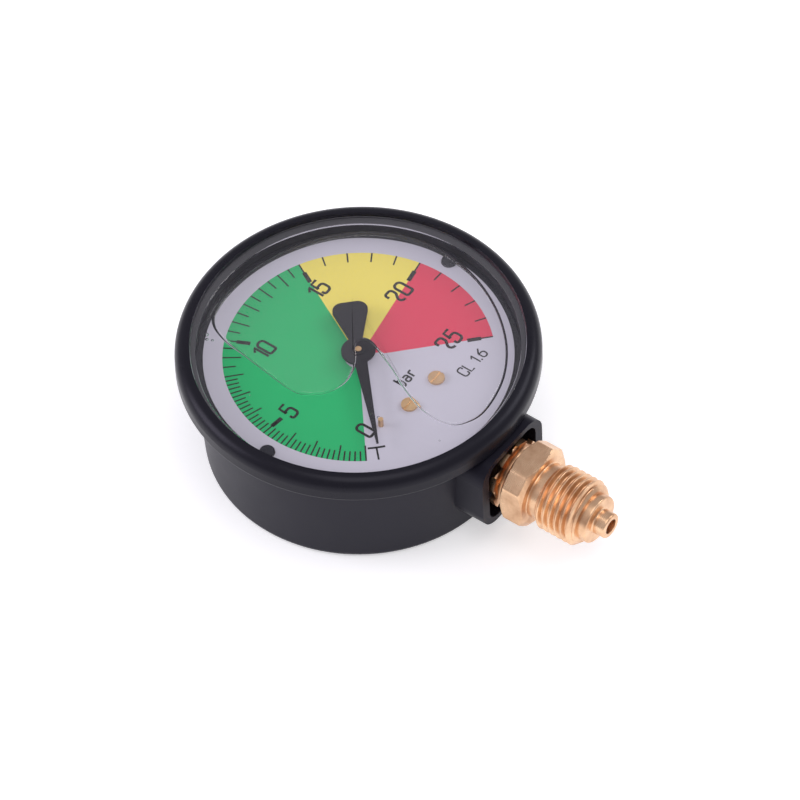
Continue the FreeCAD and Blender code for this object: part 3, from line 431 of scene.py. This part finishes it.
def flat_sheet(name, outline_low, outline_high, height, material):
    """A thin closed sheet between two edges that run side by side, each a row of (x, y). It is one
    layer thick and its top is at height."""
    low, high = np.asarray(outline_low, float), np.asarray(outline_high, float)
    loops = [low, high, high, low]
    levels = [height, height, height - LAYER, height - LAYER]
    rows = [np.column_stack([loop, np.full(len(loop), level)]) for loop, level in zip(loops, levels)]
    points = np.stack(rows, axis=1)
    faces = quads(points.shape[0], 4, True)
    ends = [np.arange(4), np.arange(4) + (points.shape[0] - 1) * 4]
    piece = mesh_object(name, points.reshape(-1, 3), list(faces) + ends)
    paint(material, piece)
    return piece


def sector(name, start, end, material):
    """The part of the dial between two pressures: r from the inner to the outer edge of the print."""
    angle = np.linspace(direction(start), direction(end), 96)
    ray = np.column_stack([np.cos(angle), np.sin(angle)])
    return flat_sheet(name, ray * SECTOR_START, ray * SCALE_EDGE, dial_face + 1.5 * LAYER, material)


sectors = [
    sector("print_green", 1, 15, green_ink),
    sector("print_yellow", 15, 20, yellow_ink),
    sector("print_red", 20, 25, red_ink),
]
print("sectors from 1 bar to 25 bar cover %.1f degrees" % math.degrees(direction(1) - direction(25)))

# %% [markdown]
# ## Marks
#
# Between 1 and 8 bar there is a mark for every 0.2 bar, then for every half bar up to 15 and for
# every bar above that. Whole bars are longer, and every fifth has a heavy bar under it.

# %% Marks
ink = bmesh.new()
INK_TOP = dial_face + 3 * LAYER


def ink_ribbon(centre_line, width, closed=False):
    """Adds a ribbon of even width to the black print: the line's points moved half the width to
    both sides, along the normal that halves each corner."""
    line = np.asarray(centre_line, float)
    if closed:
        run = np.roll(line, -1, axis=0) - np.roll(line, 1, axis=0)
    else:
        run = np.gradient(line, axis=0)
    run /= np.linalg.norm(run, axis=1)[:, None]
    side = np.column_stack([-run[:, 1], run[:, 0]]) * width / 2
    for level, up in ((INK_TOP, 1), (INK_TOP - LAYER, -1)):
        left = [ink.verts.new((*p, level)) for p in line + side]
        right = [ink.verts.new((*p, level)) for p in line - side]
        last = len(line) if closed else len(line) - 1
        for k in range(last):
            n = (k + 1) % len(line)
            quad = [left[k], right[k], right[n], left[n]]
            ink.faces.new(quad if up == 1 else quad[::-1])


def mark(pressure, inner, outer, width):
    """A radial mark from one radius to another, in millimetres."""
    angle = float(direction(pressure))
    ray = np.array([math.cos(angle), math.sin(angle)])
    ink_ribbon([ray * inner * MM, ray * outer * MM], width * MM)


for tenth in range(10, 81, 2):
    mark(tenth / 10, 21.5 if tenth % 10 == 0 else 22.8, 25.1, 0.30)
for half in range(17, 31):
    mark(half / 2, 21.6 if half % 2 == 0 else 22.7, 25.1, 0.30)
for whole in range(16, 26):
    mark(whole, 22.9, 25.1, 0.30)
for fifth in (5, 10, 15, 20, 25):
    mark(fifth, 20.3, 22.9, 0.85)

zero = math.radians(225.0)
zero_ray = np.array([math.cos(zero), math.sin(zero)])
ink_ribbon([zero_ray * 22.0 * MM, zero_ray * 25.1 * MM], 0.34 * MM)
across = zero + np.radians(np.linspace(-4.2, 4.2, 9))
ink_ribbon(np.column_stack([np.cos(across), np.sin(across)]) * 22.2 * MM, 0.45 * MM)

# %% [markdown]
# ## Numbers drawn with an even stroke
#
# The numbers are narrow and upright, with a stroke of the same width everywhere, as on most
# instruments. Each is a centre line made of straight runs and rounded corners, and the ribbon
# above gives it its width.

# %% Numbers
GLYPHS = {
    # each stroke: corner points on a grid 0.5 wide and 1 high, and corner radii
    "0": [([(0.25, 0), (0.5, 0), (0.5, 1), (0, 1), (0, 0), (0.25, 0)], 0.235)],
    "1": [([(0.08, 0.74), (0.32, 1.0), (0.32, 0.0)], 0.0)],
    "2": [([(0.0, 0.70), (0.0, 1.0), (0.5, 1.0), (0.5, 0.62), (0.0, 0.0), (0.52, 0.0)], 0.22)],
    "5": [([(0.47, 1.0), (0.06, 1.0), (0.02, 0.50)], 0.0),
          ([(0.02, 0.50), (0.10, 0.62), (0.5, 0.62), (0.5, 0.0), (0.0, 0.0), (0.0, 0.24)], 0.22)],
    "6": [([(0.42, 1.0), (0.0, 0.62), (0.0, 0.0), (0.5, 0.0), (0.5, 0.56), (0.02, 0.56)], 0.22)],
    "C": [([(0.5, 0.72), (0.5, 1.0), (0.0, 1.0), (0.0, 0.0), (0.5, 0.0), (0.5, 0.28)], 0.23)],
    "L": [([(0.0, 1.0), (0.0, 0.0), (0.42, 0.0)], 0.0)],
    "b": [([(0.0, 1.0), (0.0, 0.0), (0.46, 0.0), (0.46, 0.66), (0.0, 0.66)], 0.2)],
    "a": [([(0.03, 0.66), (0.44, 0.66), (0.44, 0.0), (0.0, 0.0), (0.0, 0.38), (0.44, 0.38)], 0.16)],
    "r": [([(0.0, 0.66), (0.0, 0.0)], 0.0), ([(0.0, 0.4), (0.0, 0.66), (0.32, 0.66)], 0.2)],
    ".": [([(0.10, -0.03), (0.10, 0.12)], 0.0)],
}
ADVANCE = {"1": 0.50, ".": 0.38, "r": 0.52, "L": 0.66, " ": 0.30}


def write(text, centre, height, stroke, turn=0.0, spread=1.0):
    """Draws a word in black ink, centred on a point: each letter's grid is scaled to the height,
    moved along the line by the letters before it, and the line is turned about the centre."""
    widths = [ADVANCE.get(letter, 0.74) * spread for letter in text]
    start = -(sum(widths) - 0.24) / 2
    cos, sin = math.cos(turn), math.sin(turn)
    for letter, width in zip(text, widths):
        for corners, radius in GLYPHS.get(letter, []):
            limits = [min(radius, 0.9 * min(math.dist(a, b), math.dist(b, c)) / 2)
                      for a, b, c in zip(corners, corners[1:], corners[2:])]
            line = softened(corners, [0, *limits, 0], 7)
            line = (line + (start, -0.5)) * height * MM
            turned = np.column_stack([line[:, 0] * cos - line[:, 1] * sin,
                                      line[:, 0] * sin + line[:, 1] * cos])
            ink_ribbon(turned + np.asarray(centre) * MM, stroke * MM)
        start += width


for text, centre in (("0", (-13.6, -11.6)), ("5", (-18.0, 2.6)), ("10", (-8.7, 15.4)),
                     ("15", (8.7, 15.8)), ("20", (16.7, 3.1)), ("25", (12.85, -11.15))):
    write(text, centre, 3.45, 0.54)
write("bar", (0.9, -9.9), 2.3, 0.38)
write("CL 1.6", (11.0, -17.8), 2.3, 0.30, spread=0.95)

ink_mesh = bpy.data.meshes.new("print_black")
ink.to_mesh(ink_mesh)
ink.free()
print_black = bpy.data.objects.new("print_black", ink_mesh)
bpy.context.scene.collection.objects.link(print_black)
paint(black_ink, print_black)
print("black print: %d faces" % len(ink_mesh.polygons))

for sheet in sectors + [print_black]:
    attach(sheet, "housing")

# %% [markdown]
# ## The window and the liquid are one clear body
#
# Glycerine and the window's plastic bend light almost equally, so where they touch nothing shows.
# Two separate glass objects would show a false gap there. So the window and the liquid are turned
# as one closed clear piece whose sides and floor sink a little into the case and the dial, and light
# goes from the liquid straight to the print. The air that was left in at filling is a pocket: an
# inner skin whose faces point into the air.

# %% Clear body
CLEAR_RIM = window_edge
RAISED = 31.1 * MM
CEILING = low_of("window") + 2.2 * MM
FLANGE_TOP = CEILING + 1.0 * MM
WELL = 30.02 * MM
FLOOR = dial_face - 0.15 * MM

clear_profile = softened(
    [(0, window_top), (RAISED, window_top), (RAISED, FLANGE_TOP), (CLEAR_RIM, FLANGE_TOP),
     (CLEAR_RIM, CEILING), (WELL, CEILING), (WELL, FLOOR), (0, FLOOR)],
    [0, 0.30 * MM, 0.12 * MM, 0.15 * MM, 0.1 * MM, 0, 0, 0])
clear_body = turned_piece("window_and_liquid", clear_profile, 256, 30)

# %% [markdown]
# ### The air pocket
#
# The pocket floats against the window and keeps clear of the lower left, where the liquid reaches
# the glass. Its outline is a round scoop at the left, a small bay at the shaft, where the liquid
# climbs, a slanting side down to six o'clock, and the long side along the rim. The liquid wets the
# glass, so the pocket's edge is round and bulges over the line where it touches the glass. Light
# grazes that edge, and it shows as a thin bright and dark line.

# %% Air pocket
POCKET_DEPTH = 1.3 * MM
BULGE = 0.6 * MM
POCKET_HUB = np.array([9.7, 8.6])
FLAT_RINGS, EDGE_RINGS = 15, 19
RIPPLE = 3.6


def arc(centre, radius, start, end, count):
    """Points on a circle, from one angle in degrees to another: x = r cos a, y = r sin a."""
    turn = np.radians(np.linspace(start, end, count))
    return np.asarray(centre) + radius * np.column_stack([np.cos(turn), np.sin(turn)])


def rim_side(start, end, count):
    """The side along the rim, in mm: a circle about the dial's middle whose radius is a little
    larger towards twelve o'clock and ripples: r = 27.3 + 0.4 sin a + 0.5 cos(3.6 (a - 20))."""
    turn = np.radians(np.linspace(start, end, count))
    radius = 27.3 + 0.4 * np.sin(turn) + 0.5 * np.cos(RIPPLE * (turn - math.radians(20)))
    return radius[:, None] * np.column_stack([np.cos(turn), np.sin(turn)])


pocket_outline = np.concatenate([
    arc((-7.4, 4.8), 7.1, 180, 294, 5),
    [(-2.0, -0.4), (-0.7, 0.8), (0.6, 1.5), (2.1, 1.2), (2.9, -0.2), (2.7, -2.2), (1.4, -5.4),
     (-0.3, -9.0), (-2.2, -12.4), (-4.5, -18.4), (-4.4, -23.9), (-2.2, -26.3)],
    rim_side(-86, 97, 13),
    [(-9.3, 26.1), (-11.9, 22.0), (-13.0, 15.4)]])


def closed_spline(points, steps):
    """A smooth closed curve through the points: between two of them the Catmull-Rom cubic, whose
    slope at a point is half the way from the point before it to the point after it."""
    share = (np.arange(steps) / steps)[None, :, None]
    p0, p1 = np.roll(points, 1, axis=0)[:, None], points[:, None]
    p2, p3 = np.roll(points, -1, axis=0)[:, None], np.roll(points, -2, axis=0)[:, None]
    curve = 0.5 * (2 * p1 + (p2 - p0) * share + (2 * p0 - 5 * p1 + 4 * p2 - p3) * share**2
                   + (3 * p1 - p0 - 3 * p2 + p3) * share**3)
    return curve.reshape(-1, 2)


def pocket_points():
    """One grid over the whole skin: from the middle of the ceiling to the outline, round the edge
    and back to the middle of the floor. Round the edge, with t from 0 to pi, the skin is moved
    b sin t outwards and h (1 - cos t) / 2 down."""
    outline = closed_spline(pocket_outline, 16) * MM
    run = np.roll(outline, -1, axis=0) - np.roll(outline, 1, axis=0)
    outwards = np.column_stack([run[:, 1], -run[:, 0]]) / np.linalg.norm(run, axis=1)[:, None]
    middle = POCKET_HUB * MM
    share = 1 - (1 - (np.arange(FLAT_RINGS) / FLAT_RINGS)[:, None, None]) ** 2
    flat = middle + share * (outline - middle)
    t = np.linspace(0, math.pi, EDGE_RINGS)[:, None]
    edge = outline + (BULGE * np.sin(t))[..., None] * outwards
    path = np.concatenate([flat, edge, flat[::-1]])
    depth = np.concatenate([np.zeros(FLAT_RINGS), POCKET_DEPTH / 2 * (1 - np.cos(t[:, 0])),
                            np.full(FLAT_RINGS, POCKET_DEPTH)])
    return np.dstack([path, np.broadcast_to(CEILING - depth[:, None], path.shape[:2])])


def ball(centre, radius, steps=24):
    """A round bubble: x = r sin b cos a, y = r sin b sin a, z = r cos b."""
    polar = np.linspace(0, math.pi, steps // 2 + 1)
    around = np.arange(steps) * TAU / steps
    x = np.outer(np.sin(polar), np.cos(around))
    y = np.outer(np.sin(polar), np.sin(around))
    z = np.outer(np.cos(polar), np.ones(steps))
    return np.dstack([x, y, z]) * radius + np.asarray(centre)


def air(name, sheets):
    """A pocket of air from grids that share their edges, with its faces turned into the air."""
    points, faces, start = [], [], 0
    for sheet in sheets:
        points.append(sheet.reshape(-1, 3))
        faces.extend(quads(sheet.shape[0], sheet.shape[1], True) + start)
        start += sheet.shape[0] * sheet.shape[1]
    piece = mesh_object(name, np.concatenate(points), faces, 50)
    piece.data.flip_normals()
    return piece


def merged(target, *others):
    """Moves the meshes of other objects into one object, as loose parts of it."""
    work = bmesh.new()
    work.from_mesh(target.data)
    for other in others:
        work.from_mesh(other.data)
        bpy.data.objects.remove(other)
    work.to_mesh(target.data)
    work.free()
    return target


pocket = air("pocket", [pocket_points()])
bubbles = [air("bubble", [ball(np.array(c) * MM, r * MM)]) for c, r in (
    ((-13.4, 25.0, 24.1), 0.45), ((-14.3, 24.2, 24.2), 0.32), ((-13.9, 23.2, 24.3), 0.26),
    ((-11.6, -11.9, 23.2), 0.42), ((-10.8, -12.6, 23.6), 0.30), ((-11.0, -11.2, 23.9), 0.22),
    ((-20.4, 9.6, 24.3), 0.16), ((-24.0, -9.0, 24.3), 0.14), ((-9.0, -25.2, 24.2), 0.17))]
merged(clear_body, pocket, *bubbles)

clear = Finish("window_clear", (1, 1, 1), Transmission_Weight=1.0, IOR=1.47, Roughness=0.0)
smudge = clear.noise(160, detail=4).step(0.60, 0.85)
clear.roughness(smudge * 0.02)
ripple = clear.noise(60, detail=1)
clear.bump(ripple.socket, 0.01 * MM, 0.2)
paint(clear.material, clear_body, "window")
for view in ("visible_shadow", "visible_diffuse"):
    setattr(clear_body, view, False)
    setattr(nodes["window"], view, False)
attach(clear_body, "housing")
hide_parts("window")
print("clear body: %d faces" % len(clear_body.data.polygons))

# %% [markdown]
# ## The stem with a real thread
#
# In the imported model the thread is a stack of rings. A real thread climbs: at each turn the ridge
# moves on by one pitch. So the stem's outer half is made again as one surface on a grid of distance
# along the axis and angle round it, whose radius is a formula of both.

# %% Stem profile
AXIS_HEIGHT = (low_of("stem_seal") + top_of("stem_seal")) / 2
STEM_END = -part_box("stem")[0].y
STEM_STEPS = 192
WRENCH_START, WRENCH_END = 37.0, 42.0
NECK_CUT = 36.95
THREAD_START, THREAD_END = 43.3, 52.96
RELIEF_END = 44.0
PITCH, CREST, DEPTH = 1.337, 6.58, 0.856
ROUND = 0.137 * PITCH
FLANK = math.radians(27.5)


def wrench_radius(angle):
    """A square with its corners cut: the nearest of eight flats, d / cos(angle from the flat),
    where a high power in place of a plain minimum breaks the edges slightly."""
    total = 0
    for number in range(8):
        distance = 7.0 if number % 2 == 0 else 7.88
        facing = np.maximum(np.cos(angle - number * math.pi / 4), 1e-6) / distance
        total = total + facing**90
    return total ** (-1 / 90)


def thread_radius(along, angle):
    """Whitworth form: with x the distance from the nearest crest, a round crest of radius R, a
    straight flank at 27.5 degrees, and a round root."""
    turns = (along - THREAD_START) / PITCH - angle / TAU + 0.15
    x = np.abs((turns + 0.5) % 1.0 - 0.5) * PITCH
    flat = ROUND * math.cos(FLANK)
    crest = CREST - ROUND + np.sqrt(np.maximum(ROUND**2 - x**2, 0))
    root = CREST - DEPTH + ROUND - np.sqrt(np.maximum(ROUND**2 - (PITCH / 2 - x) ** 2, 0))
    flank = CREST - ROUND * (1 - math.sin(FLANK)) - (x - flat) / math.tan(FLANK)
    return np.where(x < flat, crest, np.where(x > PITCH / 2 - flat, root, flank))


turned = softened(
    [(NECK_CUT - 0.05, 0), (NECK_CUT - 0.05, 5.0), (WRENCH_START, 5.0), (WRENCH_START, 6.9),
     (WRENCH_START + 0.96, 8.38), (WRENCH_END - 0.96, 8.38), (WRENCH_END, 6.9), (WRENCH_END, 5.5),
     (THREAD_START, 5.5)],
    [0, 0, 0, 0.1, 0, 0, 0.1, 0.25, 0], 5)
pilot = softened(
    [(THREAD_END, 4.75), (THREAD_END + 1.8, 4.75), (THREAD_END + 1.8, 2.75),
     (STEM_END / MM - 2.4, 2.5), (STEM_END / MM, 2.5), (STEM_END / MM, 1.5),
     (STEM_END / MM - 11.3, 1.5), (STEM_END / MM - 11.3, 0)],
    [0, 0.35, 0.25, 0.2, 0.4, 0.12, 0, 0], 5)


def finely(path, step):
    """Adds points to the long runs of a path, so that facets can be cut across them."""
    pieces = []
    for a, b in zip(path[:-1], path[1:]):
        parts = max(1, int(math.dist(a, b) / step))
        pieces.append(a + (b - a) * (np.arange(parts) / parts)[:, None])
    return np.concatenate(pieces + [path[-1:]])


def stem_points():
    """Radius as a formula of distance and angle: the smaller of the turned profile and the wrench
    flats, then the thread between its two end cones, then the pilot, the spigot and the bore."""
    angle = np.arange(STEM_STEPS) * TAU / STEM_STEPS
    shoulder = finely(turned, 0.12)
    limit = np.broadcast_to(shoulder[:, 1:], (len(shoulder), STEM_STEPS))
    wrench = np.minimum(limit, wrench_radius(angle))
    along = np.arange(THREAD_START, THREAD_END, 0.045)[:, None]
    thread = np.minimum(thread_radius(along, angle), 5.5 + np.maximum(along - RELIEF_END, 0) * 1.2)
    thread = np.minimum(thread, 5.45 + (THREAD_END - along) * 1.0)
    tip = np.broadcast_to(pilot[:, 1:], (len(pilot), STEM_STEPS))
    radius = np.concatenate([wrench, thread, tip])
    distance = np.concatenate([shoulder[:, :1], along, pilot[:, :1]])
    distance = np.broadcast_to(distance, radius.shape)
    x, z = radius * np.cos(angle), radius * np.sin(angle)
    return np.stack([x * MM, -distance * MM, z * MM + AXIS_HEIGHT], axis=-1)


outer_stem = stem_points()
stem = mesh_object("stem_cut", outer_stem.reshape(-1, 3), quads(*outer_stem.shape[:2], True), 32)

inner = bmesh.new()
inner.from_mesh(nodes["stem"].data)
bmesh.ops.remove_doubles(inner, verts=inner.verts, dist=1e-6)
cut = bmesh.ops.bisect_plane(
    inner, geom=inner.verts[:] + inner.edges[:] + inner.faces[:], dist=1e-7,
    plane_co=(0, -NECK_CUT * MM, 0), plane_no=(0, -1, 0), clear_outer=True)
rim = [g for g in cut["geom_cut"] if isinstance(g, bmesh.types.BMEdge)]
bmesh.ops.triangle_fill(inner, edges=rim, use_beauty=True)
bmesh.ops.recalc_face_normals(inner, faces=inner.faces)
inner_mesh = bpy.data.meshes.new("stem_inside")
inner.to_mesh(inner_mesh)
inner.free()
inner_mesh.shade_smooth()
inner_mesh.set_sharp_from_angle(angle=math.radians(25))
stem_inside = bpy.data.objects.new("stem_inside", inner_mesh)
bpy.context.scene.collection.objects.link(stem_inside)
merged(stem, stem_inside)
paint(stem_brass, stem)
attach(stem, "housing")
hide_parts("stem")
print("stem: %d faces, thread of %.1f turns"
      % (len(stem.data.polygons), (THREAD_END - THREAD_START) / PITCH))

# %% [markdown]
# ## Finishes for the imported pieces
#
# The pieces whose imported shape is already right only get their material.

# %% Paint the frame
paint(case_black, "case")
paint(bezel_black, "bezel_ring")
paint(rubber_black, "stem_seal", "filler_plug")
paint(rubber_grey, "window_gasket")
paint(enamel, "dial")
paint(pointer_lacquer, "pointer", "pointer_bush")
paint(inner_brass, "dial_screws", "stop_pin", "pinion_shaft", "back_plate",
      "front_plate", "pillars", "sector_gear", "hairspring_collet", "hairspring_stud",
      "restrictor", "tube_tip")
paint(steel, "case_screws", "movement_screws", "sector_shaft", "tail_pin", "tip_pin", "link")
paint(bronze, "bourdon_tube", "hairspring")
unpainted = [n for n, o in nodes.items() if not o.data.materials or not o.data.materials[0].use_nodes]
print("nodes without a finish:", unpainted)

# %% [markdown]
# ## Floor, light and camera
#
# A product lies on a white table under large soft lamps. The table is bright enough to lose its
# edge, and the lamps are big for their distance, so shadows stay faint.

# %% Studio
floor_size = 3.0
TABLE_GLOW, ROOM_LIGHT = 0.45, 0.55
ROOM_TINT = (0.93, 0.91, 1.0, 1)
floor_mesh = bpy.data.meshes.new("floor")
half = floor_size / 2
floor_mesh.from_pydata([(-half, -half, 0), (half, -half, 0), (half, half, 0), (-half, half, 0)], [],
                       [(0, 1, 2, 3)])
floor = bpy.data.objects.new("floor", floor_mesh)
bpy.context.scene.collection.objects.link(floor)
table = Finish("table_white", (0.86, 0.86, 0.87), Roughness=0.6, Specular_IOR_Level=0.2)
table.shader.inputs["Emission Color"].default_value = (1, 1, 1, 1)
table.shader.inputs["Emission Strength"].default_value = TABLE_GLOW
floor.data.materials.append(table.material)

room = bpy.data.worlds.new("studio")
room.use_nodes = True
room_light = room.node_tree.nodes["Background"].inputs
room_light["Color"].default_value = ROOM_TINT
room_light["Strength"].default_value = ROOM_LIGHT
bpy.context.scene.world = room

VIEW_TURN = math.radians(-51.7)
CAMERA_RISE = math.radians(50.46)
aim = Vector((0, 0, bezel_top))


def in_room(x, y, z):
    """A point given as seen from the camera's side: x to the right, y away, z up, in metres."""
    cos, sin = math.cos(VIEW_TURN), math.sin(VIEW_TURN)
    return Vector((x * cos - y * sin, x * sin + y * cos, z))


def softbox(name, place, size, power, tint=(1, 1, 1)):
    """A square lamp that faces the gauge."""
    lamp = bpy.data.lights.new(name, "AREA")
    lamp.shape, lamp.size, lamp.energy, lamp.color = "SQUARE", size, power, tint
    made = bpy.data.objects.new(name, lamp)
    made.location = in_room(*place)
    made.rotation_euler = (aim - made.location).to_track_quat("-Z", "Y").to_euler()
    bpy.context.scene.collection.objects.link(made)
    return made


softbox("left_softbox", (-0.70, 0.05, 0.40), 0.45, 2.4, (0.95, 0.91, 1.0))
softbox("right_softbox", (0.62, 0.30, 0.62), 0.40, 1.8)
softbox("top_softbox", (0.05, -0.30, 1.05), 0.70, 3.2, (1.0, 0.98, 0.96))

# %% [markdown]
# The camera stands far back with a long lens, so that the round case keeps its shape. It looks down
# at 50.5 degrees and is turned a little about its own axis.

# %% Camera
CAMERA_DISTANCE, CAMERA_ROLL = 2.341, math.radians(-2.43)
LENS = 571.1
STAND_RIGHT, STAND_LOW = 7.75 * MM, 10.8 * MM
back = in_room(0, -math.cos(CAMERA_RISE), math.sin(CAMERA_RISE))
level = in_room(1, 0, 0)
upright = back.cross(level)
right = level * math.cos(CAMERA_ROLL) + upright * math.sin(CAMERA_ROLL)
up = back.cross(right)
camera_data = bpy.data.cameras.new("camera")
camera_data.lens, camera_data.clip_end = LENS, 20
camera = bpy.data.objects.new("camera", camera_data)
bpy.context.scene.collection.objects.link(camera)
turn = Matrix((right, up, back)).transposed().to_4x4()
camera.matrix_world = Matrix.Translation(
    aim + back * CAMERA_DISTANCE + right * STAND_RIGHT - up * STAND_LOW) @ turn
bpy.context.scene.camera = camera
bpy.context.scene.view_settings.view_transform = "Standard"
